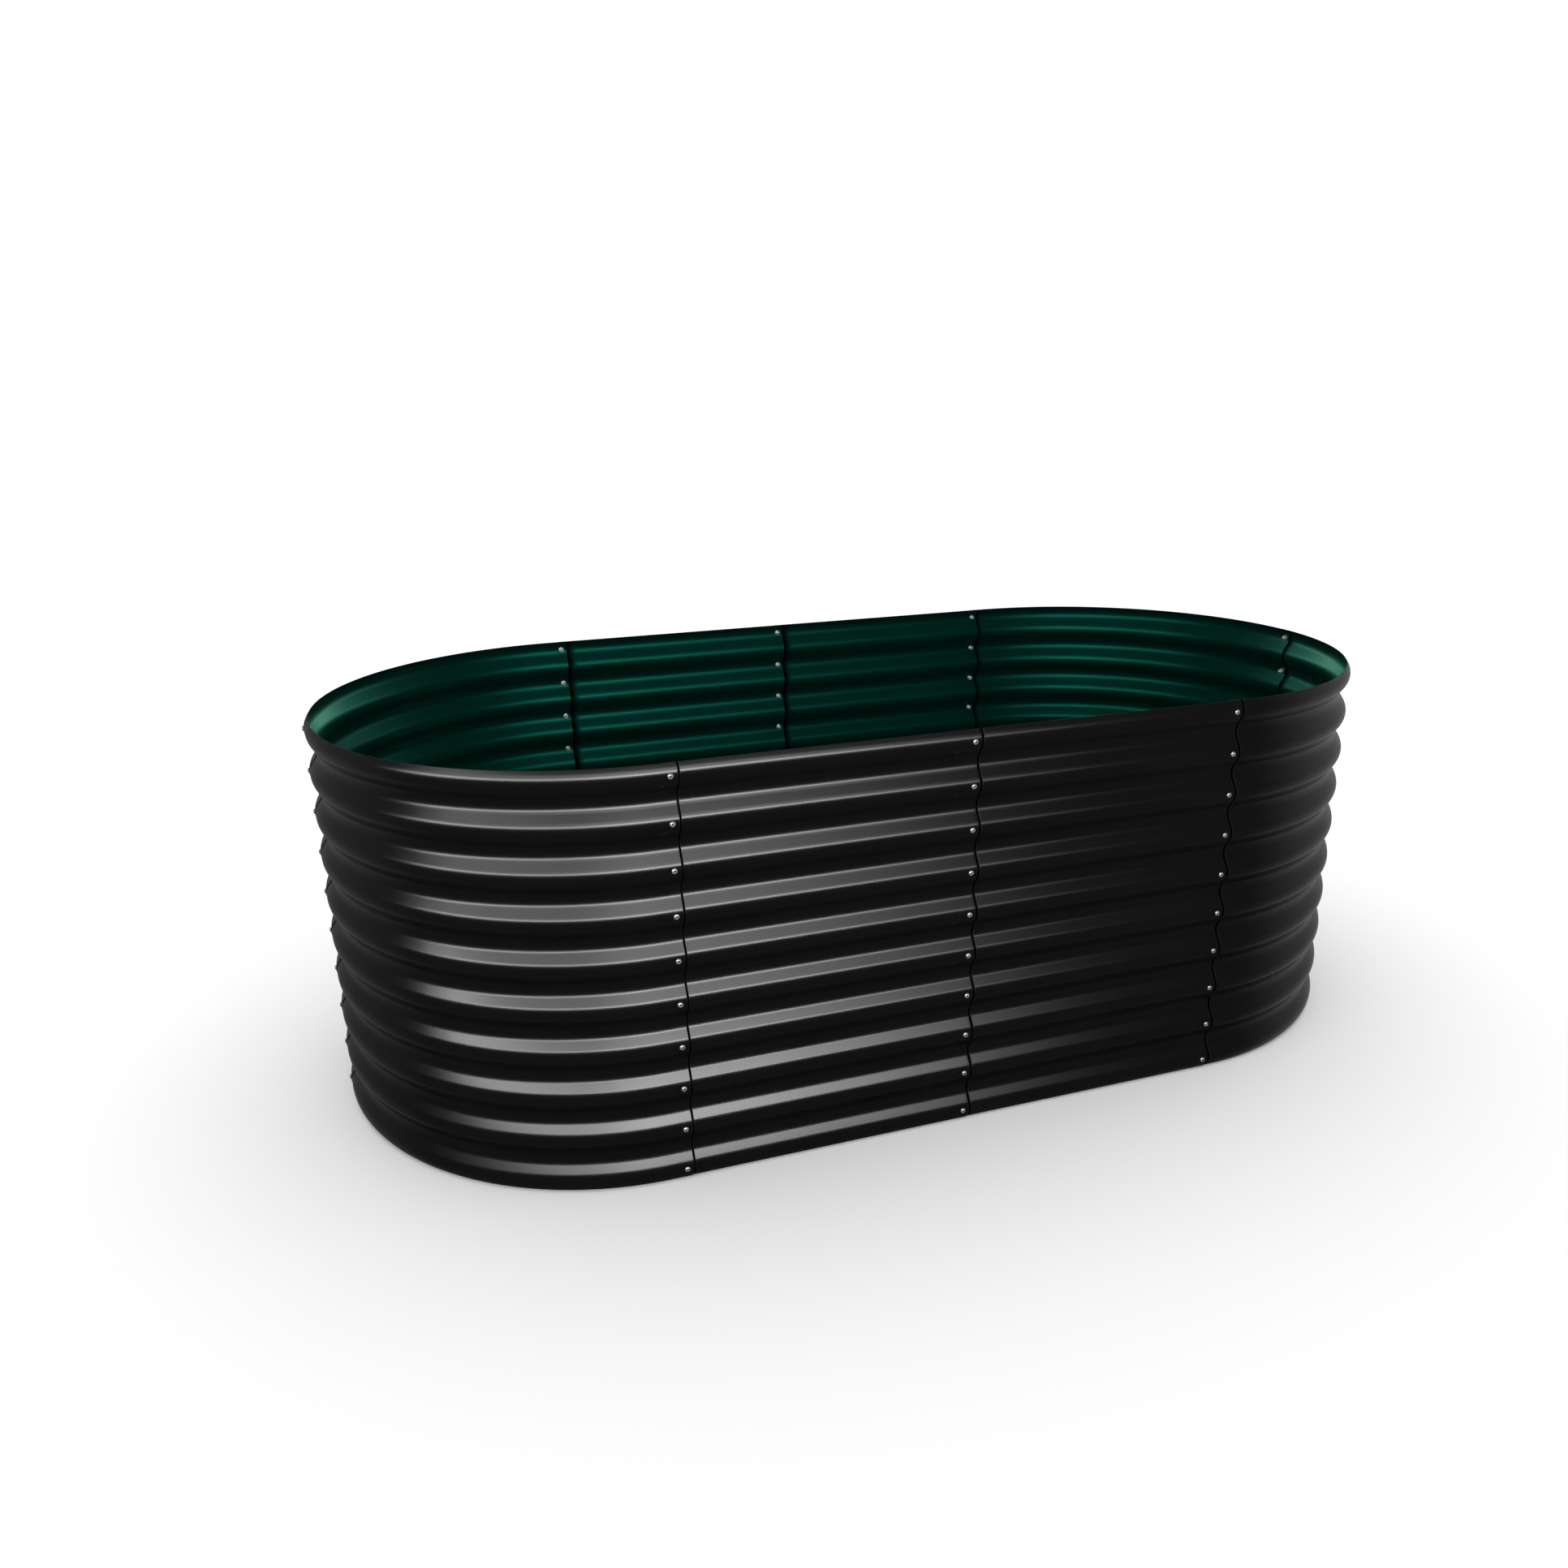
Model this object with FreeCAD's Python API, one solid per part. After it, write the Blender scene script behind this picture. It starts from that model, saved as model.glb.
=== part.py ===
import FreeCAD, Part
import math
import os

# Raised garden bed: an open-bottomed oval ring of eight corrugated steel panels.
# Straight side panels and quarter-round corner panels lap over each other like shingles,
# and a column of button-head bolts, washers and nuts clamps every lap on the crests of the
# corrugation. Three rods tie the long walls together so that the soil can't spread them.
# Millimetres. +X along the bed, -Y the front, +Z up, origin on the ground at the middle.

Vector = FreeCAD.Vector

# ---- driving dimensions ----
bolt_column_spacing = 420.0     # between two neighbouring bolt columns of a long wall
end_radius = 410.0              # half-round ends, to the middle of the sheet
wave_pitch = 63.0               # corrugation, crest to crest
wave_depth = 13.0               # corrugation, valley to crest
wave_slope_deg = 34.0           # steepest lean of the sheet between a valley and a crest
crest_count = 10                # crests that stand outwards, one bolt of each column on each
sheet = 0.6                     # steel thickness
lap = 20.0                      # width over which two panels overlap
corner_straight = 9.0           # straight stretch of a corner panel between its lap and its bend
lap_clearance = 0.2             # paint and play between the two sheets of a lap

bolt_shank_d = 3.9              # M4, clear of the nut's thread
bolt_length = 10.0
bolt_hole_d = 4.5
bolt_head_d = 7.6
bolt_head_height = 2.2
bolt_head_rim = 0.5             # straight edge below the dome
socket_flats = 2.5
socket_depth = 1.3

washer_d = 9.0
washer_thickness = 0.8
washer_bore_d = 4.3
washer_seat_clearance = 0.05

nut_flats = 7.0
nut_height = 3.2
nut_bore_d = 4.0
nut_chamfer = 0.45

rod_d = 10.0
rod_end_chamfer = 0.8
rod_tap_d = 4.0
rod_tap_depth = 14.0
rod_crest = 5                   # the rods are bolted on this crest, counted from the ground

# ---- what follows from them ----
slope = math.radians(wave_slope_deg)
half_pitch = wave_pitch / 2
# Each half wave is an arc, a straight slope and an arc. Its rise and its depth fix both.
wave_radius = (half_pitch * math.sin(slope) - wave_depth * math.cos(slope)) / (2 * (1 - math.cos(slope)))
slope_length = (half_pitch - 2 * wave_radius * math.sin(slope)) / math.cos(slope)
height = (crest_count - 0.5) * wave_pitch
crest_heights = [wave_pitch * (n + 0.25) for n in range(crest_count)]

lap_step = sheet / math.cos(slope) + lap_clearance   # from one sheet of a lap to the other
tangent_x = bolt_column_spacing + lap / 2 + corner_straight   # here the walls turn into the ends
lap_angle = math.degrees(lap / 2 / end_radius)       # half a lap, seen along the round end

outer_crest = end_radius + wave_depth / 2 + lap_step / 2 + sheet / 2   # the bolt heads' seat
inner_crest = end_radius + wave_depth / 2 - lap_step / 2 - sheet / 2   # bottom of the inside channel
channel_radius = wave_radius - sheet / 2
washer_sagitta = channel_radius - math.sqrt(channel_radius ** 2 - (washer_d / 2) ** 2)
washer_face = inner_crest - washer_sagitta - washer_seat_clearance     # the washer bears here
nut_face = washer_face - washer_thickness
rod_half_length = nut_face


# ---- the corrugated sheet ----
def wave_side(shift):
    """One side of the sheet from the ground up, shift out of its middle, as edges in the YZ plane.

    Y is the distance out of the middle of the wave. The sheet starts and ends half way along a
    slope, where it is cut level.
    """
    cut_out = shift / math.cos(slope)
    edges = []
    here = Vector(0, cut_out, 0)
    for half_wave in range(2 * crest_count - 1):
        is_crest = half_wave % 2 == 0
        side = 1 if is_crest else -1
        middle_z = wave_pitch * (0.25 + half_wave / 2)
        radius = wave_radius + side * shift
        centre = Vector(0, side * (wave_depth / 2 - wave_radius), middle_z)
        reach_y = side * radius * math.cos(slope)
        reach_z = radius * math.sin(slope)
        first = centre + Vector(0, reach_y, -reach_z)
        top = centre + Vector(0, side * radius, 0)
        last = centre + Vector(0, reach_y, reach_z)
        edges.append(Part.LineSegment(here, first).toShape())
        edges.append(Part.Arc(first, top, last).toShape())
        here = last
    edges.append(Part.LineSegment(here, Vector(0, cut_out, height)).toShape())
    return edges


def sheet_section():
    """The section of a panel as a face in the YZ plane, with the sheet's middle at Y 0."""
    outside = wave_side(sheet / 2)
    inside = wave_side(-sheet / 2)
    cut_half = sheet / 2 / math.cos(slope)
    foot = Part.LineSegment(Vector(0, -cut_half, 0), Vector(0, cut_half, 0)).toShape()
    top = Part.LineSegment(Vector(0, -cut_half, height), Vector(0, cut_half, height)).toShape()
    ordered = Part.sortEdges(outside + inside + [foot, top])[0]
    return Part.Face(Part.Wire(ordered))


def front_section(x, distance):
    """The section standing on the front wall at x, its middle at that distance from the X axis."""
    face = sheet_section()
    face.rotate(Vector(0, 0, 0), Vector(0, 0, 1), 180)
    face.translate(Vector(x, -distance, 0))
    return face


def back_section(x, distance):
    """The same on the back wall."""
    face = sheet_section()
    face.translate(Vector(x, distance, 0))
    return face


def drill(panel, columns):
    """Cuts the bolt holes of the given columns out of a panel. A column is (x, y, direction)."""
    reach = wave_depth + 2 * lap_step
    holes = []
    for x, y, direction in columns:
        for z in crest_heights:
            start = Vector(x, y, z) - direction * reach
            holes.append(Part.makeCylinder(bolt_hole_d / 2, 2 * reach, start, direction))
    return panel.cut(Part.makeCompound(holes))


def side_panel(first_column_x):
    """A straight front panel from one bolt column to the next. It leans out by one lap step."""
    lean = lap_step / bolt_column_spacing
    start_x = first_column_x - lap / 2
    length = bolt_column_spacing + lap
    start_distance = end_radius - lap_step / 2 - lean * lap / 2
    panel = front_section(start_x, start_distance).extrude(Vector(length, -lean * length, 0))
    out = Vector(0, -1, 0)
    wall_y = -(end_radius + wave_depth / 2)
    columns = [(first_column_x, wall_y, out), (first_column_x + bolt_column_spacing, wall_y, out)]
    return drill(panel, columns)


def corner_panel_after_front():
    """The quarter-round panel from the front wall's last bolt column to the right end's column.

    Its straight start lies under the side panel and its far end lies over the next corner panel,
    so the arc's centre is moved by half a lap step both ways.
    """
    half_step = lap_step / 2
    start_x = bolt_column_spacing - lap / 2
    arc_start_x = tangent_x + half_step
    flange = front_section(start_x, end_radius - half_step)
    flange = flange.extrude(Vector(arc_start_x - start_x, 0, 0))
    arc_centre = Vector(arc_start_x, half_step, 0)
    bend = front_section(arc_start_x, end_radius - half_step)
    bend = bend.revolve(arc_centre, Vector(0, 0, 1), 90 + lap_angle)
    panel = flange.fuse(bend)
    columns = [
        (bolt_column_spacing, -(end_radius + wave_depth / 2), Vector(0, -1, 0)),
        (tangent_x + end_radius + wave_depth / 2, 0, Vector(1, 0, 0)),
    ]
    return drill(panel, columns)


def corner_panel_before_back():
    """The quarter-round panel from the right end's bolt column to the back wall's first column."""
    half_step = lap_step / 2
    arc_end_x = tangent_x - half_step
    end_x = bolt_column_spacing - lap / 2
    arc_centre = Vector(arc_end_x, half_step, 0)
    bend = back_section(arc_end_x, end_radius + half_step)
    bend = bend.revolve(arc_centre, Vector(0, 0, 1), -(90 + lap_angle))
    flange = back_section(arc_end_x, end_radius + half_step)
    flange = flange.extrude(Vector(end_x - arc_end_x, 0, 0))
    panel = flange.fuse(bend)
    columns = [
        (tangent_x + end_radius + wave_depth / 2, 0, Vector(1, 0, 0)),
        (bolt_column_spacing, end_radius + wave_depth / 2, Vector(0, 1, 0)),
    ]
    return drill(panel, columns)


# ---- fasteners, made on the Z axis with the wall's outward direction along +Z ----
def hexagon(flats, z):
    """A hexagonal face at height z, with the given width across its flats."""
    corner = flats / math.sqrt(3)
    angles = [math.radians(60 * n) for n in range(7)]
    points = [Vector(corner * math.cos(a), corner * math.sin(a), z) for a in angles]
    return Part.Face(Part.makePolygon(points))


def bolt():
    """A button-head bolt with a hexagon socket. The head's seat is at height 0."""
    head_r = bolt_head_d / 2
    flat_r = socket_flats / math.sqrt(3) + 0.3
    rim = Vector(head_r, 0, bolt_head_rim)
    crown = Vector(flat_r, 0, bolt_head_height)
    # The dome bulges past the chord from its rim to its crown by a fifth of its height.
    bulge = (bolt_head_height - bolt_head_rim) / 5
    chord = crown - rim
    out = Vector(chord.z, 0, -chord.x).normalize()
    dome_middle = rim + chord * 0.5 + out * bulge
    outline = [
        Part.LineSegment(Vector(0, 0, 0), Vector(head_r, 0, 0)).toShape(),
        Part.LineSegment(Vector(head_r, 0, 0), rim).toShape(),
        Part.Arc(rim, dome_middle, crown).toShape(),
        Part.LineSegment(crown, Vector(0, 0, bolt_head_height)).toShape(),
        Part.LineSegment(Vector(0, 0, bolt_head_height), Vector(0, 0, 0)).toShape(),
    ]
    head = Part.Face(Part.Wire(outline)).revolve(Vector(0, 0, 0), Vector(0, 0, 1), 360)
    socket = hexagon(socket_flats, bolt_head_height - socket_depth).extrude(Vector(0, 0, socket_depth))
    shank = Part.makeCylinder(bolt_shank_d / 2, bolt_length, Vector(0, 0, 0), Vector(0, 0, -1))
    return head.fuse(shank).cut(socket)


def washer():
    """A flat washer whose outward face is at height 0."""
    down = Vector(0, 0, -1)
    disc = Part.makeCylinder(washer_d / 2, washer_thickness, Vector(0, 0, 0), down)
    return disc.cut(Part.makeCylinder(washer_bore_d / 2, washer_thickness, Vector(0, 0, 0), down))


def nut():
    """A hexagon nut whose outward face is at height 0, with its corners turned off."""
    body = hexagon(nut_flats, -nut_height).extrude(Vector(0, 0, nut_height))
    corner_r = nut_flats / math.sqrt(3)
    blank = Part.makeCylinder(corner_r, nut_height, Vector(0, 0, -nut_height))
    blank = blank.makeChamfer(nut_chamfer, [e for e in blank.Edges if len(e.Vertexes) == 1])
    bore = Part.makeCylinder(nut_bore_d / 2, nut_height, Vector(0, 0, -nut_height))
    return body.common(blank).cut(bore)


def tie_rod():
    """A round rod between the long walls, tapped at both ends for the bolts of one crest."""
    rod = Part.makeCylinder(rod_d / 2, 2 * rod_half_length, Vector(0, 0, -rod_half_length))
    rod = rod.makeChamfer(rod_end_chamfer, [e for e in rod.Edges if len(e.Vertexes) == 1])
    for end in (-1, 1):
        mouth = Vector(0, 0, end * rod_half_length)
        rod = rod.cut(Part.makeCylinder(rod_tap_d / 2, rod_tap_depth, mouth, Vector(0, 0, -end)))
    rod.rotate(Vector(0, 0, 0), Vector(1, 0, 0), 90)
    return rod


def stand_on_wall(piece, x, y, z, angle):
    """Copies a fastener to (x, y, z), with its +Z turned to face outwards at that angle round Z."""
    placed = piece.copy()
    placed.rotate(Vector(0, 0, 0), Vector(0, 1, 0), 90)
    placed.rotate(Vector(0, 0, 0), Vector(0, 0, 1), angle)
    placed.translate(Vector(x, y, z))
    return placed


def column_of(piece, seam, distance, heights):
    """A compound of one fastener at each height of a seam's bolt column."""
    base_x, angle = seam
    out_x = math.cos(math.radians(angle)) * distance
    out_y = math.sin(math.radians(angle)) * distance
    placed = [stand_on_wall(piece, base_x + out_x, out_y, z, angle) for z in heights]
    return Part.makeCompound(placed)


def turned_round(shape):
    """The same shape half a turn round the bed's own axis."""
    copy = shape.copy()
    copy.rotate(Vector(0, 0, 0), Vector(0, 0, 1), 180)
    return copy


def export(name, shape):
    shape.exportStep(os.path.join("parts", name + ".step"))


# Each bolt column: the X of the point it faces away from, and the direction it faces.
seams = {
    "front_left": (-bolt_column_spacing, -90),
    "front_middle": (0, -90),
    "front_right": (bolt_column_spacing, -90),
    "right_end": (tangent_x, 0),
    "back_right": (bolt_column_spacing, 90),
    "back_middle": (0, 90),
    "back_left": (-bolt_column_spacing, 90),
    "left_end": (-tangent_x, 180),
}


def main():
    os.makedirs("parts", exist_ok=True)

    front_left = side_panel(-bolt_column_spacing)
    front_right = side_panel(0)
    export("side_panel_front_left", front_left)
    export("side_panel_front_right", front_right)
    export("side_panel_back_right", turned_round(front_left))
    export("side_panel_back_left", turned_round(front_right))

    after_front = corner_panel_after_front()
    before_back = corner_panel_before_back()
    export("corner_panel_front_right", after_front)
    export("corner_panel_back_right", before_back)
    export("corner_panel_back_left", turned_round(after_front))
    export("corner_panel_front_left", turned_round(before_back))

    rod_height = crest_heights[rod_crest - 1]
    one_bolt, one_washer, one_nut, one_rod = bolt(), washer(), nut(), tie_rod()
    for name, seam in seams.items():
        has_rod = not name.endswith("_end")
        nut_heights = [z for z in crest_heights if not (has_rod and z == rod_height)]
        export("bolts_" + name, column_of(one_bolt, seam, outer_crest, crest_heights))
        export("washers_" + name, column_of(one_washer, seam, washer_face, crest_heights))
        export("nuts_" + name, column_of(one_nut, seam, nut_face, nut_heights))

    for name, x in (("left", -bolt_column_spacing), ("middle", 0), ("right", bolt_column_spacing)):
        rod = one_rod.copy()
        rod.translate(Vector(x, 0, rod_height))
        export("tie_rod_" + name, rod)

    print("wave radius %.2f, straight slope %.2f, height %.1f" % (wave_radius, slope_length, height))


main()
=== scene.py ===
import math

import bpy
from mathutils import Matrix, Vector, noise


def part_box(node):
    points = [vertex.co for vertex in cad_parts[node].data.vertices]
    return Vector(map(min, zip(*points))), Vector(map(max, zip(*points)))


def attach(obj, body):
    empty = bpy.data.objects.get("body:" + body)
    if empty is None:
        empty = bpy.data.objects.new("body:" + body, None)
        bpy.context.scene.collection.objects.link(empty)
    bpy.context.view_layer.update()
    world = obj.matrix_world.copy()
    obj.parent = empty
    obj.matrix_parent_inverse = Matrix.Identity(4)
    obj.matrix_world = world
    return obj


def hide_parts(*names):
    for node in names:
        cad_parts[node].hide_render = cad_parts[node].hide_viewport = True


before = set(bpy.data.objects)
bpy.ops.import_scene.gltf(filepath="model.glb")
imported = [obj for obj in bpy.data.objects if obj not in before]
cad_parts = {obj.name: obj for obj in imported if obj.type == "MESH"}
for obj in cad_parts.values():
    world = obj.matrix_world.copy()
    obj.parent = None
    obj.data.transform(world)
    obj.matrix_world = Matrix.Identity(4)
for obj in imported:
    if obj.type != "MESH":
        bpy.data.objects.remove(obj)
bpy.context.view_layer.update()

# Looks of the raised garden bed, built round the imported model. Metres, same frame as the model:
# +X along the bed, -Y the front, +Z up, origin on the ground at the middle.

# ---- sizes, read from the model where it has them ----
MM = 0.001
SHEET = 0.6 * MM
LAP_CLEARANCE = 0.2 * MM
WAVE_DEPTH = 13 * MM
SLOPE = math.radians(34)       # steepest lean of the waves, where two of their arcs meet
CREST_COUNT = 10

side_low, side_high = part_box("side_panel_front_right")
bolt_low, bolt_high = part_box("bolts_front_right")
corner_low, corner_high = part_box("corner_panel_front_right")
HEIGHT = side_high.z
WAVE_PITCH = HEIGHT / (CREST_COUNT - 0.5)
COLUMN_SPACING = (bolt_low.x + bolt_high.x) / 2
LAP = (side_high.x - side_low.x) - COLUMN_SPACING
LAP_STEP = SHEET / math.cos(SLOPE) + LAP_CLEARANCE
END_RADIUS = (LAP_STEP - WAVE_DEPTH - SHEET) / 2 - corner_low.y
TANGENT_X = corner_high.x - END_RADIUS - (WAVE_DEPTH + LAP_STEP + SHEET) / 2
CREST_HEIGHTS = [WAVE_PITCH * (n + 0.25) for n in range(CREST_COUNT)]
HALF_WAVE = WAVE_PITCH / 2
WAVE_RADIUS = (HALF_WAVE * math.sin(SLOPE) - WAVE_DEPTH * math.cos(SLOPE)) / (2 * (1 - math.cos(SLOPE)))

OUTER_CREST = END_RADIUS + (WAVE_DEPTH + LAP_STEP + SHEET) / 2    # seat of the bolt heads
INNER_CREST = END_RADIUS + (WAVE_DEPTH - LAP_STEP - SHEET) / 2    # bottom of the channel inside

BOLT_HEAD_R = 3.8 * MM
BOLT_HEAD_HEIGHT = 2.2 * MM
BOLT_HEAD_RIM = 0.5 * MM
RIM_SOFTNESS = 0.12 * MM
DOME_POWER = 0.85              # under 1 makes the dome fuller than a sine
SOCKET_FLATS = 2.5 * MM
SOCKET_DEPTH = 1.3 * MM
SOCKET_CHAMFER = 0.12 * MM
SOCKET_LAND = 0.3 * MM         # flat of the crown, outside the hexagon's points
DRILL_POINT_R = 0.3 * MM       # end of the drill's cone in the socket's bottom
DRILL_POINT_DEPTH = 0.25 * MM
BOLT_SHANK_R = 1.95 * MM
BOLT_LENGTH = 10 * MM
BOLT_POINT = 0.6 * MM          # length of the chamfer at the shank's end
BOLT_POINT_TAPER = 0.5 * MM
THREAD_PITCH = 0.7 * MM
THREAD_DEPTH = 0.38 * MM
DEEPEST_CUT = 0.8 * MM         # the most that thread and chamfer take off together

WASHER_R = 4.5 * MM
WASHER_BORE_R = 2.15 * MM
WASHER_THICKNESS = 0.8 * MM
WASHER_SOFTNESS = 0.1 * MM
WASHER_SEAT_CLEARANCE = 0.05 * MM
CHANNEL_RADIUS = WAVE_RADIUS - SHEET / 2
WASHER_SAGITTA = CHANNEL_RADIUS - math.sqrt(CHANNEL_RADIUS ** 2 - WASHER_R ** 2)
WASHER_FACE = INNER_CREST - WASHER_SAGITTA - WASHER_SEAT_CLEARANCE
NUT_FACE = WASHER_FACE - WASHER_THICKNESS
NUT_FLATS = 7 * MM
NUT_HEIGHT = 3.2 * MM
NUT_BORE_R = 2.0 * MM
NUT_LEAD_IN = 0.25 * MM
NUT_FACE_R = 0.97 * NUT_FLATS / 2      # where the round chamfer of the corners starts
NUT_CHAMFER_SLOPE = math.radians(30)

ROD_CREST = 5
ROD_R = 5 * MM
ROD_CHAMFER = 0.8 * MM
ROD_BORE_R = 2.0 * MM
ROD_BORE_DEPTH = 14 * MM


# ---- camera, at the photograph's angle ----
PHOTO_PX = 1932
FOCAL_PX = 1528.0
SENSOR_MM = 36.0
CAMERA_SIGHT = 200             # metres
CAMERA_PLACE = Vector((-0.7555, -1.8483, 1.0418))
CAMERA_YAW = math.radians(18.67)       # turned from +Y towards +X
CAMERA_DOWN = math.radians(17.85)
CAMERA_ROLL = math.radians(-0.84)


def make_camera():
    """A camera with no shift, whose axes are worked out from yaw, dip and roll."""
    ahead = Vector((
        math.sin(CAMERA_YAW) * math.cos(CAMERA_DOWN),
        math.cos(CAMERA_YAW) * math.cos(CAMERA_DOWN),
        -math.sin(CAMERA_DOWN),
    ))
    level = Vector((math.cos(CAMERA_YAW), -math.sin(CAMERA_YAW), 0))
    upright = level.cross(ahead)
    right = math.cos(CAMERA_ROLL) * level + math.sin(CAMERA_ROLL) * upright
    up = -math.sin(CAMERA_ROLL) * level + math.cos(CAMERA_ROLL) * upright
    data = bpy.data.cameras.new("camera")
    data.sensor_fit = "HORIZONTAL"
    data.sensor_width = SENSOR_MM
    data.lens = FOCAL_PX / PHOTO_PX * SENSOR_MM
    data.clip_end = CAMERA_SIGHT
    camera = bpy.data.objects.new("camera", data)
    turn = Matrix((right, up, -ahead)).transposed()
    camera.matrix_world = Matrix.Translation(CAMERA_PLACE) @ turn.to_4x4()
    bpy.context.scene.collection.objects.link(camera)
    bpy.context.scene.camera = camera


# ---- small helpers for meshes ----
SHARP_ANGLE = math.radians(30)
PAINTED_SHADE_ATTRIBUTE = "painted_shade"            # vertex attribute: how dark the painted shade makes the surface, 0 to 1


def new_mesh_object(name, vertices, faces):
    """A smooth shaded mesh object, whose edges stay sharp where they turn by more than SHARP_ANGLE."""
    mesh = bpy.data.meshes.new(name)
    mesh.from_pydata(vertices, [], faces)
    mesh.validate()
    mesh.shade_smooth()
    mesh.set_sharp_from_angle(angle=SHARP_ANGLE)
    obj = bpy.data.objects.new(name, mesh)
    bpy.context.scene.collection.objects.link(obj)
    return obj


def set_painted_shade(obj, shades):
    """Gives each vertex its painted shade, for the materials to read."""
    attribute = obj.data.attributes.new(PAINTED_SHADE_ATTRIBUTE, "FLOAT", "POINT")
    attribute.data.foreach_set("value", shades)


def stand_for(obj, node):
    """The piece takes a CAD node's place: it hangs from the root body, and the node is hidden."""
    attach(obj, "root")
    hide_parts(node)


def joined(rings):
    """The points of all rings in one list."""
    return [point for ring in rings for point in ring]


def ring_faces(rings, around):
    """Quads between rings of equal length, whose vertices follow each other ring by ring."""
    faces = []
    for n in range(rings - 1):
        for k in range(around):
            here = n * around + k
            beside = n * around + (k + 1) % around
            faces.append((here, beside, beside + around, here + around))
    return faces


def capped_faces(rings, around):
    """The quads between rings, and a disc on the first ring and on the last."""
    last = (rings - 1) * around
    first_disc = tuple(reversed(range(around)))
    last_disc = tuple(range(last, last + around))
    return ring_faces(rings, around) + [first_disc, last_disc]


# ---- the corrugated sheet ----
ARC_STEPS = 12                 # rows of faces on each half wave
WALL_STEP = 16 * MM            # between two stations along a straight wall
BEND_STEP = END_RADIUS * math.radians(2)
EDGE_SHADE = 1.0 * MM          # width over which the painted shade on a cut edge fades
EDGE_STATIONS = (0.0, EDGE_SHADE, 2.0 * MM, 3.0 * MM, 4.0 * MM, 6.0 * MM)
EDGE_DIP = 0.12 * MM           # the cut end of an outer sheet is pulled in by this much
EDGE_DIP_WIDTH = 4 * MM
CORNER_R = 3 * MM              # the sheet's corners are cut round
CUT_EDGE = 0.4 * MM            # the strip beside the rim's cut edge, darkened by the painted shade there
# painted shade on the rim's cut edges
RIM_PAINTED_SHADE = 0.8
BUCKLE = 0.06 * MM             # slow unevenness of rolled sheet
BUCKLE_SCALE = 5.0             # per metre
NARROW_GAP_SHADE = 3.0 * MM          # width of the painted shade beside the edge of the sheet above, at three laps
MIDDLE_GAP_SHADE = 4.3 * MM
WIDE_GAP_SHADE = 5.2 * MM
GAP_STEEPNESS = 2.6            # over 1, so that the painted shade is black well before its middle


def wave_profile():
    """The middle of the sheet from the ground up: (distance outwards, height, lean of the normal)."""
    rim = CUT_EDGE * math.tan(SLOPE)
    points = [(0.0, 0.0, -SLOPE), (rim, CUT_EDGE, -SLOPE)]
    for half_wave in range(2 * CREST_COUNT - 1):
        side = 1 if half_wave % 2 == 0 else -1
        middle = WAVE_PITCH * (0.25 + half_wave / 2)
        for step in range(ARC_STEPS + 1):
            lean = SLOPE * (2 * step / ARC_STEPS - 1)
            out = side * (WAVE_DEPTH / 2 - WAVE_RADIUS + WAVE_RADIUS * math.cos(lean))
            points.append((out, middle + WAVE_RADIUS * math.sin(lean), side * lean))
    points.append((rim, HEIGHT - CUT_EDGE, SLOPE))
    points.append((0.0, HEIGHT, SLOPE))
    return points


def sheet_side(points, shift):
    """(distance outwards, height) of one face of the sheet. Both ends are cut level."""
    side = [(out + shift * math.cos(lean), z + shift * math.sin(lean)) for out, z, lean in points]
    cut_out = shift / math.cos(SLOPE)
    side[0] = (cut_out, 0.0)
    side[-1] = (cut_out, HEIGHT)
    return side


def spread(start, end, step):
    """Evenly spaced values from start to end, about a step apart."""
    count = max(1, round((end - start) / step))
    return [start + (end - start) * n / count for n in range(count + 1)]


def stations_along(length, step):
    """Distances along a panel, closer together at its ends and where the next sheet's edge lies."""
    values = set()
    for edge in EDGE_STATIONS:
        values.update((edge, length - edge, LAP - edge, LAP + edge))
    kept = sorted(values)
    filled = []
    for a, b in zip(kept, kept[1:]):
        filled += spread(a, b, step)[:-1] if b - a > step else [a]
    filled.append(kept[-1])
    return filled


# A path maps a distance along a panel to the place on the wall's middle line and the direction
# outwards. It comes with its length. Each panel starts under its neighbour and ends over the next,
# so from start to end it moves outwards by one lap step.
def straight_path(first_column_x):
    """The path of a side panel, from the bolt column at its start."""
    lean = LAP_STEP / COLUMN_SPACING
    start_x = first_column_x - LAP / 2
    start_out = END_RADIUS - LAP_STEP / 2 - lean * LAP / 2

    def at(s):
        return Vector((start_x + s, -(start_out + lean * s), 0)), Vector((0, -1, 0))
    return at, COLUMN_SPACING + LAP


def bend_place(centre, angle):
    """A place on a round end and the direction outwards there."""
    out = Vector((math.cos(angle), math.sin(angle), 0))
    return centre + out * END_RADIUS, out


def corner_after_front_path():
    """The corner panel from the front wall to the right end: a short flange and a bend."""
    flange_x = COLUMN_SPACING - LAP / 2
    arc_x = TANGENT_X + LAP_STEP / 2
    flange = arc_x - flange_x
    centre = Vector((arc_x, LAP_STEP / 2, 0))
    turn = math.pi / 2 + LAP / 2 / END_RADIUS

    def at(s):
        if s <= flange:
            return Vector((flange_x + s, -(END_RADIUS - LAP_STEP / 2), 0)), Vector((0, -1, 0))
        return bend_place(centre, -math.pi / 2 + (s - flange) / END_RADIUS)
    return at, flange + END_RADIUS * turn


def corner_before_back_path():
    """The corner panel from the right end to the back wall: a bend and a short flange."""
    arc_x = TANGENT_X - LAP_STEP / 2
    centre = Vector((arc_x, LAP_STEP / 2, 0))
    start_angle = -LAP / 2 / END_RADIUS
    bend = END_RADIUS * (math.pi / 2 - start_angle)
    flange = arc_x - (COLUMN_SPACING - LAP / 2)

    def at(s):
        if s <= bend:
            return bend_place(centre, start_angle + s / END_RADIUS)
        return Vector((arc_x - (s - bend), END_RADIUS + LAP_STEP / 2, 0)), Vector((0, 1, 0))
    return at, bend + flange


def buckle(point):
    """The sheet's own slow unevenness at a point, outwards."""
    return BUCKLE * noise.noise(point * BUCKLE_SCALE)


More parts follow.
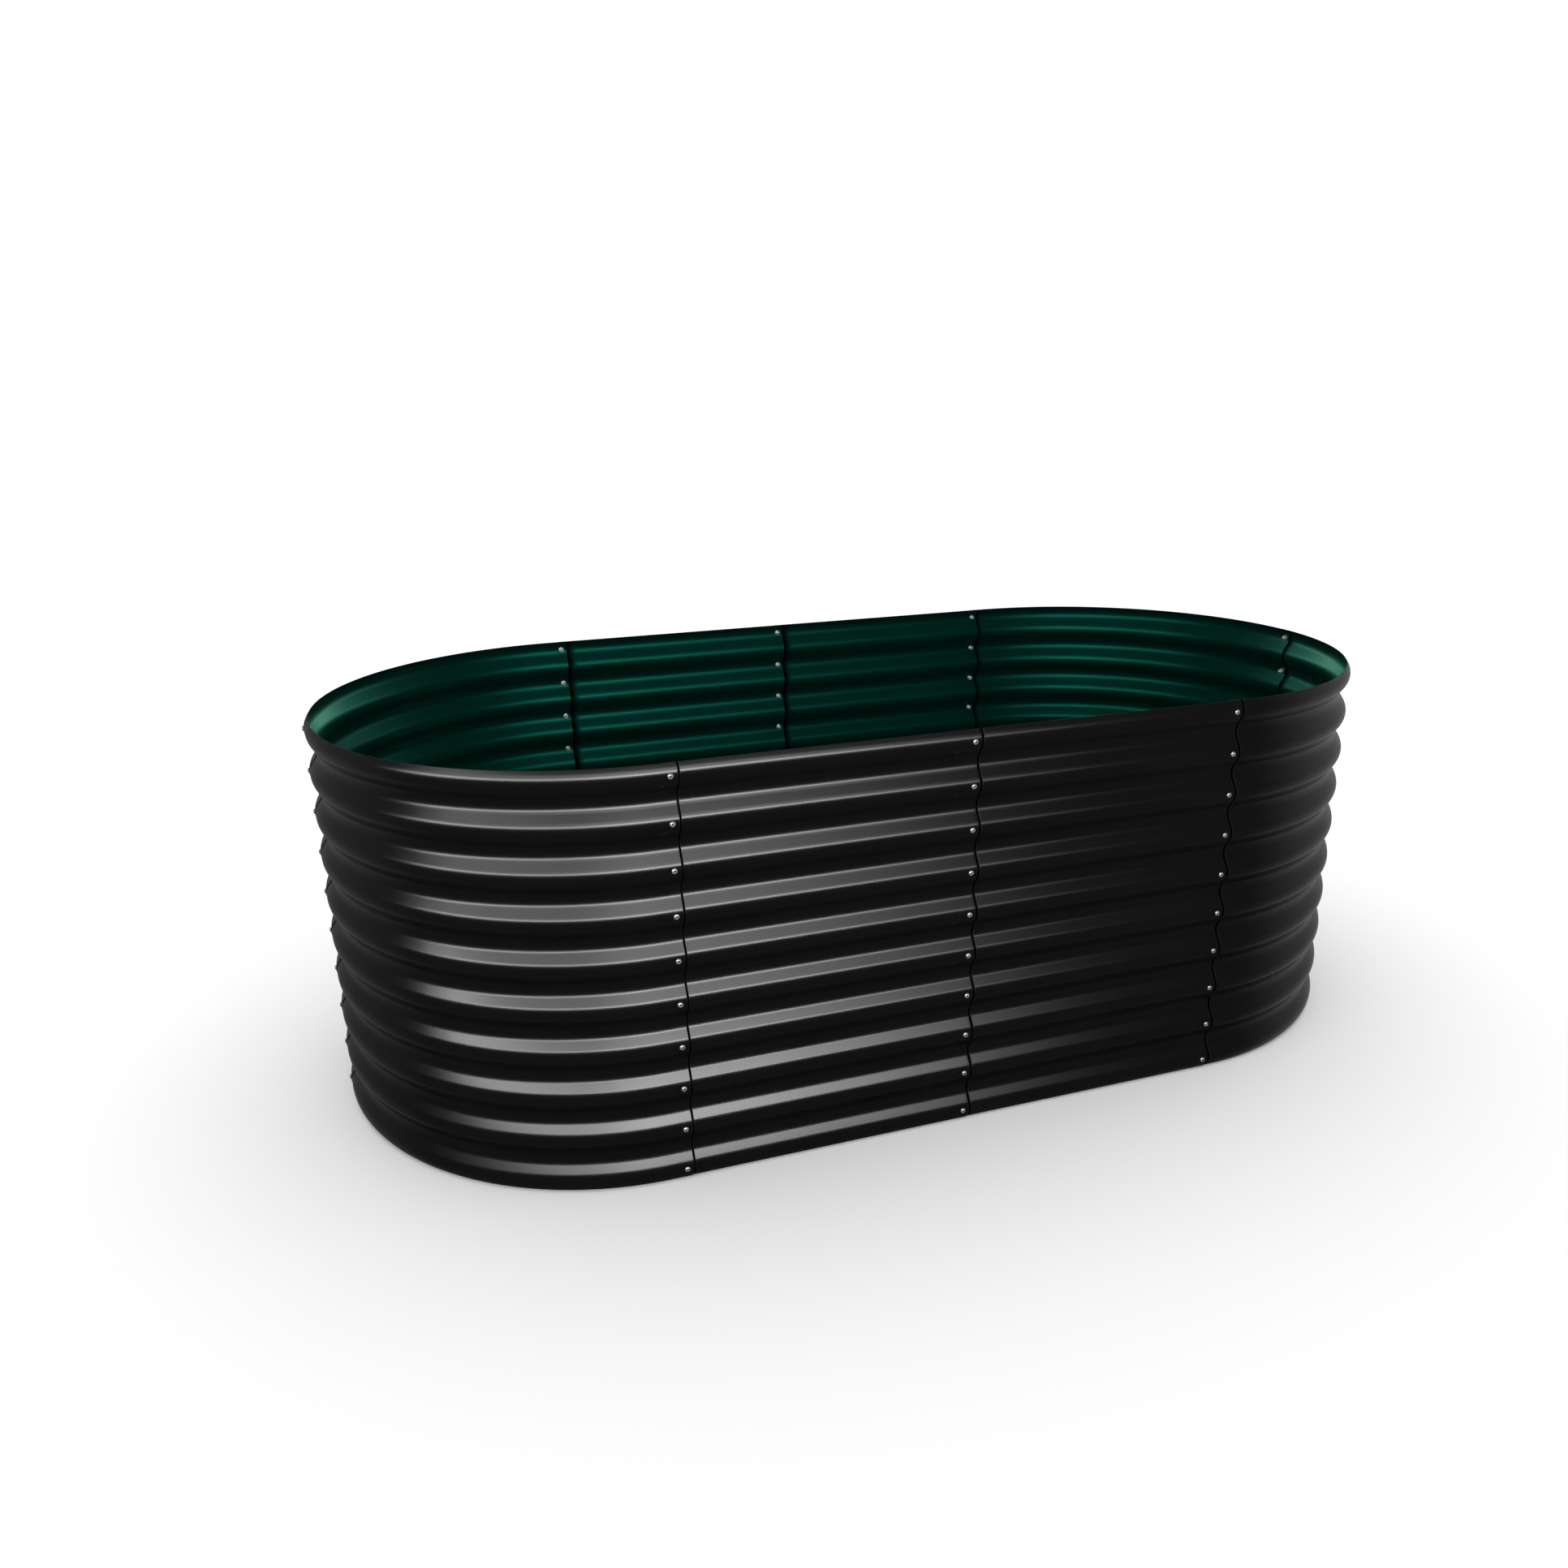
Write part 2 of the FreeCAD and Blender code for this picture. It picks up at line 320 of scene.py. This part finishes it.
def corner_cut(distance):
    """How much of the sheet's height the round corner takes away at a distance from its end."""
    short = max(0.0, CORNER_R - distance)
    return CORNER_R - math.sqrt(CORNER_R ** 2 - short ** 2)


def panel_points(path, step, gap_shade, half_turn):
    """A panel's vertices, station by station, its outer face before its inner one, and their painted
    shades.
    """
    at, length = path
    profile = wave_profile()
    outside = sheet_side(profile, SHEET / 2)
    inside = sheet_side(profile, -SHEET / 2)
    rows = len(profile)
    sign = -1 if half_turn else 1
    vertices = []
    shades = []
    for s in stations_along(length, step):
        base, out = at(s)
        base = Vector((sign * base.x, sign * base.y, 0))
        out = Vector((sign * out.x, sign * out.y, 0))
        dip = EDGE_DIP * max(0.0, 1 - (length - s) / EDGE_DIP_WIDTH) ** 2
        cut = corner_cut(min(s, length - s))
        for side, covered_at, edge in ((outside, LAP, length), (inside, length - LAP, 0)):
            # Painted shade: black beside the edge of the sheet above, on the cut ends and on the rim.
            beside = GAP_STEEPNESS * max(0.0, 1 - abs(s - covered_at) / gap_shade)
            at_edge = 1 - abs(s - edge) / EDGE_SHADE
            for k, (far, z) in enumerate(side):
                if k in (0, 1, rows - 2, rows - 1):
                    far += cut * math.tan(SLOPE)
                    z += cut if k < rows / 2 else -cut
                place = base + Vector((0, 0, z))
                vertices.append(place + out * (far - dip + buckle(place)))
                at_rim = RIM_PAINTED_SHADE if k in (0, rows - 1) else 0.0
                shades.append(min(1.0, max(beside, at_edge, at_rim)))
    return vertices, shades, rows


def panel_faces(stations, rows):
    """A panel's faces and the coat of each: 0 for the outer face and the cut edges, 1 for the inner."""
    faces = []
    coat_of = []
    top = rows - 1
    for n in range(stations - 1):
        near = 2 * rows * n
        after = near + 2 * rows
        for k in range(rows - 1):
            faces.append((near + k, after + k, after + k + 1, near + k + 1))
            a = near + rows + k
            b = after + rows + k
            faces.append((a, a + 1, b + 1, b))
            coat_of += [0, 1]
        faces.append((near, near + rows, after + rows, after))
        faces.append((near + top, after + top, after + rows + top, near + rows + top))
        coat_of += [0, 0]
    last = 2 * rows * (stations - 1)
    for k in range(rows - 1):
        faces.append((k, k + 1, rows + k + 1, rows + k))
        faces.append((last + k, last + rows + k, last + rows + k + 1, last + k + 1))
        coat_of += [0, 0]
    return faces, coat_of


def make_panel(name, path, step, gap_shade, half_turn, coats):
    """A corrugated panel that stands for the CAD node of the same name."""
    vertices, shades, rows = panel_points(path, step, gap_shade, half_turn)
    faces, coat_of = panel_faces(len(vertices) // (2 * rows), rows)
    obj = new_mesh_object(name + "_sheet", vertices, faces)
    set_painted_shade(obj, shades)
    for one in coats:
        obj.data.materials.append(one)
    obj.data.polygons.foreach_set("material_index", coat_of)
    stand_for(obj, name)


# ---- fasteners, made on the Z axis with the wall's outward direction along +Z ----
HEAD_AROUND = 48
DOME_STEPS = 9
SHANK_AROUND = 16
THREAD_STEPS = 4               # rings of points in each pitch of the thread
WASHER_AROUND = 32
NUT_AROUND = 24
ROD_AROUND = 40
HEAD_PAINTED_SHADE = (0.9, 0.9, 0.8, 0.6, 0.35, 0.15)     # painted shade on a head's lowest rings, from its seat up
SOCKET_PAINTED_SHADE = 1.0             # painted shade on the two rings of the socket's bottom
SPIN_STEPS = (9, 0.31, 23)     # uneven strides through the noise, so that each fastener turns its own way


def ring(radius, z, around):
    """A round ring of points."""
    angles = [2 * math.pi * k / around for k in range(around)]
    return [(radius * math.cos(a), radius * math.sin(a), z) for a in angles]


def hexagon_ring(flats, z, around, rise=None):
    """A hexagonal ring with its points in the same directions as those of a round ring."""
    sixth = math.pi / 3
    points = []
    for k in range(around):
        angle = 2 * math.pi * k / around
        radius = flats / 2 / math.cos(angle % sixth - sixth / 2)
        height = z if rise is None else z + rise(radius)
        points.append((radius * math.cos(angle), radius * math.sin(angle), height))
    return points


def head_rings():
    """A button head from its underside, over the dome and down to the bottom of its hexagon socket."""
    around = HEAD_AROUND
    crown_r = SOCKET_FLATS / math.sqrt(3) + SOCKET_LAND
    rings = [
        ring(BOLT_SHANK_R, 0, around),
        ring(BOLT_HEAD_R - RIM_SOFTNESS, 0, around),
        ring(BOLT_HEAD_R, RIM_SOFTNESS, around),
        ring(BOLT_HEAD_R, BOLT_HEAD_RIM - RIM_SOFTNESS, around),
    ]
    for n in range(DOME_STEPS + 1):
        t = n / DOME_STEPS
        radius = BOLT_HEAD_R + (crown_r - BOLT_HEAD_R) * t
        rise = (BOLT_HEAD_HEIGHT - BOLT_HEAD_RIM) * math.sin(t * math.pi / 2) ** DOME_POWER
        rings.append(ring(radius, BOLT_HEAD_RIM + rise, around))
    socket_bottom = BOLT_HEAD_HEIGHT - SOCKET_DEPTH
    rings += [
        hexagon_ring(SOCKET_FLATS + 2 * SOCKET_CHAMFER, BOLT_HEAD_HEIGHT, around),
        hexagon_ring(SOCKET_FLATS, BOLT_HEAD_HEIGHT - SOCKET_CHAMFER, around),
        hexagon_ring(SOCKET_FLATS, socket_bottom, around),
        ring(DRILL_POINT_R, socket_bottom - DRILL_POINT_DEPTH, around),
    ]
    return rings


def shank_rings():
    """A threaded shank, from under the head to its chamfered end."""
    count = round(BOLT_LENGTH / THREAD_PITCH) * THREAD_STEPS
    rings = []
    for n in range(count + 1):
        z = -BOLT_LENGTH * n / count
        taper = BOLT_POINT_TAPER * max(0.0, 1 - (z + BOLT_LENGTH) / BOLT_POINT)
        points = []
        for k in range(SHANK_AROUND):
            phase = (z / THREAD_PITCH + k / SHANK_AROUND) % 1
            cut = THREAD_DEPTH * (1 - abs(2 * phase - 1))
            radius = BOLT_SHANK_R - min(cut + taper, DEEPEST_CUT)
            angle = 2 * math.pi * k / SHANK_AROUND
            points.append((radius * math.cos(angle), radius * math.sin(angle), z))
        rings.append(points)
    return rings


def bolt_geometry():
    """A button-head bolt: vertices, faces and painted shades. The shank's rings run down, so its faces
    turn.
    """
    head = head_rings()
    shank = shank_rings()
    vertices = joined(head) + joined(shank)
    faces = capped_faces(len(head), HEAD_AROUND)
    first = len(head) * HEAD_AROUND
    faces += [tuple(first + v for v in reversed(face)) for face in capped_faces(len(shank), SHANK_AROUND)]
    unshaded_rings = len(head) - len(HEAD_PAINTED_SHADE) - 2
    ring_shades = HEAD_PAINTED_SHADE + (0.0,) * unshaded_rings + (SOCKET_PAINTED_SHADE,) * 2
    shades = [shade for shade in ring_shades for k in range(HEAD_AROUND)]
    shades += [0.0] * (len(shank) * SHANK_AROUND)
    return vertices, faces, shades


def washer_geometry():
    """A flat washer with softly rounded edges, outward face at height 0."""
    around = WASHER_AROUND
    soft = WASHER_SOFTNESS
    rings = [
        ring(WASHER_BORE_R, -WASHER_THICKNESS + soft, around),
        ring(WASHER_BORE_R + soft, -WASHER_THICKNESS, around),
        ring(WASHER_R - soft, -WASHER_THICKNESS, around),
        ring(WASHER_R, -WASHER_THICKNESS + soft, around),
        ring(WASHER_R, -soft, around),
        ring(WASHER_R - soft, 0, around),
        ring(WASHER_BORE_R + soft, 0, around),
        ring(WASHER_BORE_R, -soft, around),
        ring(WASHER_BORE_R, -WASHER_THICKNESS + soft, around),
    ]
    vertices = joined(rings)
    return vertices, ring_faces(len(rings), around), [0.0] * len(vertices)


def nut_geometry():
    """A hexagon nut with its corners turned off on both faces, outward face at height 0."""
    around = NUT_AROUND

    def lift(radius):
        return (radius - NUT_FACE_R) * math.tan(NUT_CHAMFER_SLOPE)

    def drop(radius):
        return -lift(radius)
    rings = [
        ring(NUT_BORE_R, -NUT_HEIGHT + NUT_LEAD_IN, around),
        ring(NUT_BORE_R + NUT_LEAD_IN, -NUT_HEIGHT, around),
        ring(NUT_FACE_R, -NUT_HEIGHT, around),
        hexagon_ring(NUT_FLATS, -NUT_HEIGHT, around, lift),
        hexagon_ring(NUT_FLATS, 0, around, drop),
        ring(NUT_FACE_R, 0, around),
        ring(NUT_BORE_R + NUT_LEAD_IN, 0, around),
        ring(NUT_BORE_R, -NUT_LEAD_IN, around),
        ring(NUT_BORE_R, -NUT_HEIGHT + NUT_LEAD_IN, around),
    ]
    vertices = joined(rings)
    return vertices, ring_faces(len(rings), around), [0.0] * len(vertices)


# Each seam's bolt column: the X of the point on the X axis that it faces away from, and the direction
# in which it faces, in degrees from +X towards +Y.
SEAMS = {
    "front_left": (-COLUMN_SPACING, -90),
    "front_middle": (0, -90),
    "front_right": (COLUMN_SPACING, -90),
    "right_end": (TANGENT_X, 0),
    "back_right": (COLUMN_SPACING, 90),
    "back_middle": (0, 90),
    "back_left": (-COLUMN_SPACING, 90),
    "left_end": (-TANGENT_X, 180),
}


def make_column(kind, seam, geometry, distance, heights, material):
    """One fastener at each height of a seam's bolt column, each turned its own way in its hole."""
    base_x, facing = SEAMS[seam]
    points, polygons, shades = geometry
    angle = math.radians(facing)
    out = Vector((math.cos(angle), math.sin(angle), 0))
    face_out = Matrix.Rotation(angle, 4, "Z")
    lie_down = Matrix.Rotation(math.radians(90), 4, "Y")
    vertices = []
    faces = []
    for z in heights:
        first = len(vertices)
        chance = noise.noise([v * stride for v, stride in zip((base_x, facing, z), SPIN_STEPS)])
        spin = Matrix.Rotation(2 * math.pi * chance, 4, "Z")
        place = Matrix.Translation(Vector((base_x, 0, z)) + out * distance)
        whole = place @ face_out @ lie_down @ spin
        vertices += [whole @ Vector(p) for p in points]
        faces += [tuple(first + v for v in polygon) for polygon in polygons]
    node = kind + "_" + seam
    obj = new_mesh_object(node + "_detail", vertices, faces)
    set_painted_shade(obj, shades * len(heights))
    obj.data.materials.append(material)
    stand_for(obj, node)


def make_rod(name, x, z, material):
    """A round tie rod from wall to wall, with chamfered ends and the bores that the bolts go into."""
    stops = [
        (ROD_BORE_R, -NUT_FACE + ROD_BORE_DEPTH),
        (ROD_BORE_R, -NUT_FACE),
        (ROD_R - ROD_CHAMFER, -NUT_FACE),
        (ROD_R, -NUT_FACE + ROD_CHAMFER),
        (ROD_R, NUT_FACE - ROD_CHAMFER),
        (ROD_R - ROD_CHAMFER, NUT_FACE),
        (ROD_BORE_R, NUT_FACE),
        (ROD_BORE_R, NUT_FACE - ROD_BORE_DEPTH),
    ]
    rings = [ring(radius, y, ROD_AROUND) for radius, y in stops]
    vertices = [(x + across, y, z + up) for up, across, y in joined(rings)]
    obj = new_mesh_object(name + "_bar", vertices, capped_faces(len(rings), ROD_AROUND))
    obj.data.materials.append(material)
    stand_for(obj, name)


# ---- materials. The scale of a pattern is per metre ----
BLACK = (0, 0, 0, 1)
# the colour of the painted shade on the fasteners
PAINTED_SHADE_BLACK = (0.004, 0.004, 0.004, 1)
MIX_SOCKETS = {"FLOAT": (2, 3, 0), "RGBA": (6, 7, 2)}    # by kind: both inputs and the output


class Nodes:
    """Short ways to add nodes to a tree. A value is a number, a colour or another node's output."""

    def __init__(self, tree):
        self.tree = tree

    def feed(self, socket, value):
        """Links another node's output to the socket, or sets a plain value on it."""
        if isinstance(value, bpy.types.NodeSocket):
            self.tree.links.new(value, socket)
        else:
            socket.default_value = value

    def add(self, kind, inputs=None, **settings):
        """A new node with its settings and what goes into it."""
        node = self.tree.nodes.new(kind)
        for key, value in settings.items():
            setattr(node, key, value)
        for key, value in (inputs or {}).items():
            self.feed(node.inputs[key], value)
        return node

    def between(self, value, low, high, start=0.0, end=1.0, kind="LINEAR"):
        """Goes from low to high while the value goes from start to end."""
        inputs = {"Value": value, "From Min": start, "From Max": end, "To Min": low, "To Max": high}
        return self.add("ShaderNodeMapRange", inputs, interpolation_type=kind).outputs[0]

    def combine(self, operation, a, b):
        """The sum or product of two values."""
        return self.add("ShaderNodeMath", {0: a, 1: b}, operation=operation).outputs[0]

    def mix(self, kind, share, first, second):
        """The first value where the share is 0, the second where it is 1."""
        a, b, result = MIX_SOCKETS[kind]
        return self.add("ShaderNodeMix", {0: share, a: first, b: second}, data_type=kind).outputs[result]


class Finish(Nodes):
    """A material's nodes, with patterns that lie still on the object."""

    def __init__(self, name):
        self.material = bpy.data.materials.new(name)
        self.material.use_nodes = True
        super().__init__(self.material.node_tree)
        self.place = self.add("ShaderNodeTexCoord").outputs["Object"]

    def set(self, name, value):
        """Feeds one of the shader's sockets."""
        self.feed(self.tree.nodes["Principled BSDF"].inputs[name], value)

    def painted_shade(self):
        """How dark the painted shade makes the surface."""
        return self.add("ShaderNodeAttribute", attribute_name=PAINTED_SHADE_ATTRIBUTE).outputs["Fac"]

    def clouds(self, scale, detail, roughness=0.5):
        """A cloudy pattern."""
        inputs = {"Vector": self.place, "Scale": scale, "Detail": detail, "Roughness": roughness}
        return self.add("ShaderNodeTexNoise", inputs).outputs["Fac"]

    def tint(self, value, dark, light, start=0.0, end=1.0):
        """A colour that goes from dark to light while the value goes from start to end."""
        node = self.add("ShaderNodeValToRGB", {"Fac": value})
        low, high = node.color_ramp.elements
        low.position = start
        low.color = dark
        high.position = end
        high.color = light
        return node.outputs["Color"]

    def bump(self, height, strength, distance, base=None):
        """A relief, on the base relief if there is one."""
        inputs = {"Height": height, "Strength": strength, "Distance": distance}
        if base is not None:
            inputs["Normal"] = base
        return self.add("ShaderNodeBump", inputs).outputs["Normal"]


def coat(name, dark, light, smoothest, roughest, metal):
    """Coated sheet: a colour that drifts a little, a fine orange peel, and painted black shade at the
    seams, cut edges and rim.
    """
    paint = Finish(name)
    painted_shade = paint.painted_shade()
    cloud = paint.clouds(scale=9.0, detail=5.0, roughness=0.55)
    grain = paint.clouds(scale=900.0, detail=3.0, roughness=0.6)
    fine = paint.clouds(scale=2600.0, detail=1.0)

    # The painted shade turns the colour black and the metal and roughness full, so that it mirrors
    # nothing.
    paint.set("Base Color", paint.mix("RGBA", painted_shade, paint.tint(cloud, dark, light), BLACK))
    paint.set("Metallic", paint.between(painted_shade, metal, 1.0))      # black metal mirrors nothing
    satin = paint.between(grain, smoothest, roughest)
    paint.set("Roughness", paint.mix("FLOAT", painted_shade, satin, 1.0))
    peel = paint.bump(grain, strength=0.05, distance=0.05 * MM)
    paint.set("Normal", paint.bump(fine, strength=0.05, distance=0.02 * MM, base=peel))
    return paint


def outside_coat():
    """Satin black powder coat."""
    paint = coat(
        "black_coat", dark=(0.0030, 0.0030, 0.0032, 1), light=(0.0055, 0.0055, 0.0058, 1),
        smoothest=0.18, roughest=0.23, metal=0.0,
    )
    return paint.material


def inside_coat():
    """Dark green back coat, whose gloss is green too."""
    paint = coat(
        "green_coat", dark=(0.0008, 0.024, 0.017, 1), light=(0.0012, 0.036, 0.026, 1),
        smoothest=0.30, roughest=0.40, metal=0.6,
    )
    paint.set("Specular IOR Level", 0.2)
    paint.set("Specular Tint", (0.06, 1.0, 0.74, 1))
    return paint.material


def zinc():
    """Bright zinc plate with a faint milky bloom, fine turning marks, and painted shade round the heads'
    seats and in the sockets.
    """
    plate = Finish("zinc_plate")
    bloom = plate.clouds(scale=380.0, detail=4.0)
    marks = plate.clouds(scale=2500.0, detail=2.0)
    tint = plate.tint(bloom, (0.44, 0.45, 0.46, 1), (0.64, 0.65, 0.66, 1), start=0.35, end=0.65)
    # Painted shade: black towards the heads' seats and in the sockets.
    plate.set("Base Color", plate.mix("RGBA", plate.painted_shade(), tint, PAINTED_SHADE_BLACK))
    plate.set("Metallic", 0.7)
    plate.set("Roughness", plate.between(bloom, 0.22, 0.42))
    plate.set("Normal", plate.bump(marks, strength=0.3, distance=0.02 * MM))
    return plate.material


def galvanised():
    """Hot-dip zinc with its crystal spangle and dull patches."""
    bar = Finish("galvanised_bar")
    spangle = bar.add("ShaderNodeTexVoronoi", {"Vector": bar.place, "Scale": 260.0})
    crystal = bar.add("ShaderNodeSeparateColor", {"Color": spangle.outputs["Color"]})
    patch = bar.clouds(scale=45.0, detail=5.0)
    both = bar.combine("MULTIPLY", bar.combine("ADD", crystal.outputs[0], patch), 0.5)
    bar.set("Base Color", bar.tint(both, (0.30, 0.31, 0.33, 1), (0.62, 0.63, 0.65, 1)))
    bar.set("Metallic", 1.0)
    bar.set("Roughness", bar.between(both, 0.35, 0.6))
    bar.set("Normal", bar.bump(patch, strength=0.2, distance=0.05 * MM))
    return bar.material


# ---- floor, world and lights ----
FLOOR_REACH = 60.0
FLOOR_DROP = 0.5 * MM          # keeps the floor clear of the panels' cut edges
FLOOR_COLOUR = (0.93, 0.93, 0.93, 1)

ROOM_COLOUR = (1, 1, 1, 1)
ROOM_LIGHT = 1.12              # radiance of the white room round the bed
MIRRORED_SKY = 0.012           # the room as the black walls mirror it, above and below the horizon
MIRRORED_GROUND = 0.05
HORIZON = (-0.25, 0.10)        # heights on the unit sphere between which the ground turns into the sky
GLOWS = (                      # paler sides of the room, mirrored at the bed's ends: direction, strength
    (Vector((0.94, 0.34, 0)), 0.30),
    (Vector((-0.50, 0.87, 0)), 0.14),
)
GLOW_FROM = 0.45               # cosines of the angles at which a glow starts and is full
GLOW_FULL = 0.95

OVERHEAD_HEIGHT = 5.0
OVERHEAD_SIZE = 5.0
OVERHEAD_RADIANCE = 0.35
LIGHT_REACH = 1.5              # from the wall to the band of soft boxes that runs round it
BOX_WIDTH = 0.26
BAND_START = -2.95             # metres along the band from where it starts to bend round the left end
FULL_FROM = -2.20
END_SHARE = 0.66               # the light in front of the round end, against that before the wall
END_BLEND = (-0.7, 0.0)
FRONT_FADE = (0.22, 1.62)      # where the light in front of the bed starts to fade and where it is gone
BACK_FADE = (0.60, 2.30)
BACK_SHARE = 0.4               # the band once more behind the bed, at part of the light
BAND_ROWS = (                  # rows of the band: name, lowest and highest edge, radiance
    ("bright", 0.87, 1.20, 13.5),
    ("soft", 1.20, 2.12, 3.6),
)


def make_stage():
    """A pale floor. The black walls don't mirror it, but the dimmer ground of the world."""
    reach = FLOOR_REACH
    corners = [(-reach, -reach, 0), (reach, -reach, 0), (reach, reach, 0), (-reach, reach, 0)]
    floor = new_mesh_object("floor", corners, [(0, 1, 2, 3)])
    floor.location.z = -FLOOR_DROP
    paper = Finish("floor")
    paper.set("Base Color", FLOOR_COLOUR)
    paper.set("Roughness", 1.0)
    paper.set("Specular IOR Level", 0.0)
    floor.data.materials.append(paper.material)
    floor.visible_glossy = False


def make_world():
    """A white room, whose mirror image in glossy paint is dim and paler on two sides."""
    world = bpy.data.worlds.new("studio")
    world.use_nodes = True
    room = Nodes(world.node_tree)
    white = room.tree.nodes["Background"]
    room.feed(white.inputs["Color"], ROOM_COLOUR)
    room.feed(white.inputs["Strength"], ROOM_LIGHT)

    towards = room.add("ShaderNodeTexCoord").outputs["Generated"]
    height = room.add("ShaderNodeSeparateXYZ", {0: towards}).outputs["Z"]
    mirrored = room.between(height, MIRRORED_GROUND, MIRRORED_SKY, *HORIZON, "SMOOTHSTEP")
    for direction, strength in GLOWS:
        cosine = room.add("ShaderNodeVectorMath", {0: towards, 1: direction}, operation="DOT_PRODUCT")
        glow = room.between(cosine.outputs["Value"], 0.0, strength, GLOW_FROM, GLOW_FULL, "SMOOTHSTEP")
        mirrored = room.combine("ADD", mirrored, glow)
    dim = room.add("ShaderNodeBackground", {"Strength": mirrored})
    by_mirror = room.add("ShaderNodeLightPath").outputs["Is Glossy Ray"]
    mix = room.add("ShaderNodeMixShader", {0: by_mirror, 1: white.outputs[0], 2: dim.outputs[0]})
    room.feed(room.tree.nodes["World Output"].inputs[0], mix.outputs[0])
    bpy.context.scene.world = world


def area_light(name, place, target, width, height, radiance, only_mirrored=False):
    """A soft box of that size at place, turned to its target."""
    data = bpy.data.lights.new(name, "AREA")
    data.shape = "RECTANGLE"
    data.size = width
    data.size_y = height
    data.energy = radiance * math.pi * width * height
    light = bpy.data.objects.new(name, data)
    ahead = Vector(target) - Vector(place)
    light.location = place
    light.rotation_euler = ahead.to_track_quat("-Z", "Y").to_euler()
    light.visible_camera = False
    light.visible_diffuse = not only_mirrored
    bpy.context.scene.collection.objects.link(light)


def smooth(value, start, end):
    """0 at start, 1 at end and a soft rise between."""
    t = min(1.0, max(0.0, (value - start) / (end - start)))
    return t * t * (3 - 2 * t)


def band_place(s):
    """A place on the band of lights and the direction away from the bed there."""
    reach = END_RADIUS + LIGHT_REACH
    if s >= 0:
        return Vector((s - TANGENT_X, -reach, 0)), Vector((0, -1, 0))
    angle = s / reach
    away = Vector((math.sin(angle), -math.cos(angle), 0))
    return Vector((-TANGENT_X, 0, 0)) + away * reach, away


def make_band(name, turn, share, fade):
    """Soft boxes along a long wall and round one end: a bright row and a dimmer row above."""
    to_side = Matrix.Rotation(math.radians(turn), 4, "Z")
    full_to, end = fade
    count = round((end - BAND_START) / BOX_WIDTH)
    for n in range(count):
        s = BAND_START + BOX_WIDTH * (n + 0.5)
        base, away = band_place(s)
        rise = smooth(s, BAND_START, FULL_FROM)
        rise *= END_SHARE + (1 - END_SHARE) * smooth(s, *END_BLEND)
        level = share * rise * smooth(s, end, full_to)
        for row, low, high, radiance in BAND_ROWS:
            place = base + Vector((0, 0, (low + high) / 2))
            area_light(
                "%s_%s_%d" % (name, row, n), to_side @ place, to_side @ (place - away),
                BOX_WIDTH, high - low, radiance * level, only_mirrored=True,
            )


def make_lights():
    """A wide light overhead, and the two bands that the glossy walls mirror."""
    above = (0, 0, OVERHEAD_HEIGHT)
    area_light("overhead", above, (0, 0, 0), OVERHEAD_SIZE, OVERHEAD_SIZE, OVERHEAD_RADIANCE)
    make_band("front", 0, 1.0, FRONT_FADE)
    make_band("back", 180, BACK_SHARE, BACK_FADE)


# ---- putting it together ----
def make_panels():
    """The eight panels: four paths, each used once more after half a turn of the bed."""
    coats = (outside_coat(), inside_coat())
    left_wall = straight_path(-COLUMN_SPACING)
    right_wall = straight_path(0)
    after_front = corner_after_front_path()
    before_back = corner_before_back_path()
    for name, path, step, gap_shade, half_turn in (
        ("side_panel_front_left", left_wall, WALL_STEP, NARROW_GAP_SHADE, False),
        ("side_panel_front_right", right_wall, WALL_STEP, MIDDLE_GAP_SHADE, False),
        ("side_panel_back_right", left_wall, WALL_STEP, NARROW_GAP_SHADE, True),
        ("side_panel_back_left", right_wall, WALL_STEP, MIDDLE_GAP_SHADE, True),
        ("corner_panel_front_right", after_front, BEND_STEP, WIDE_GAP_SHADE, False),
        ("corner_panel_back_right", before_back, BEND_STEP, MIDDLE_GAP_SHADE, False),
        ("corner_panel_back_left", after_front, BEND_STEP, WIDE_GAP_SHADE, True),
        ("corner_panel_front_left", before_back, BEND_STEP, MIDDLE_GAP_SHADE, True),
    ):
        make_panel(name, path, step, gap_shade, half_turn, coats)


def make_fasteners():
    """The bolts, washers and nuts of the eight seams, and the rods that tie opposite seams."""
    plate = zinc()
    bar = galvanised()
    bolt = bolt_geometry()
    washer = washer_geometry()
    nut = nut_geometry()
    rod_height = CREST_HEIGHTS[ROD_CREST - 1]
    for seam in SEAMS:
        has_rod = not seam.endswith("_end")
        nut_heights = [z for z in CREST_HEIGHTS if not (has_rod and z == rod_height)]
        make_column("bolts", seam, bolt, OUTER_CREST, CREST_HEIGHTS, plate)
        make_column("washers", seam, washer, WASHER_FACE, CREST_HEIGHTS, plate)
        make_column("nuts", seam, nut, NUT_FACE, nut_heights, plate)
    for side, x in (("left", -COLUMN_SPACING), ("middle", 0), ("right", COLUMN_SPACING)):
        make_rod("tie_rod_" + side, x, rod_height, bar)


def main():
    """The whole scene."""
    make_camera()
    make_stage()
    make_world()
    make_lights()
    make_panels()
    make_fasteners()
    bpy.context.scene.view_settings.view_transform = "Standard"


main()
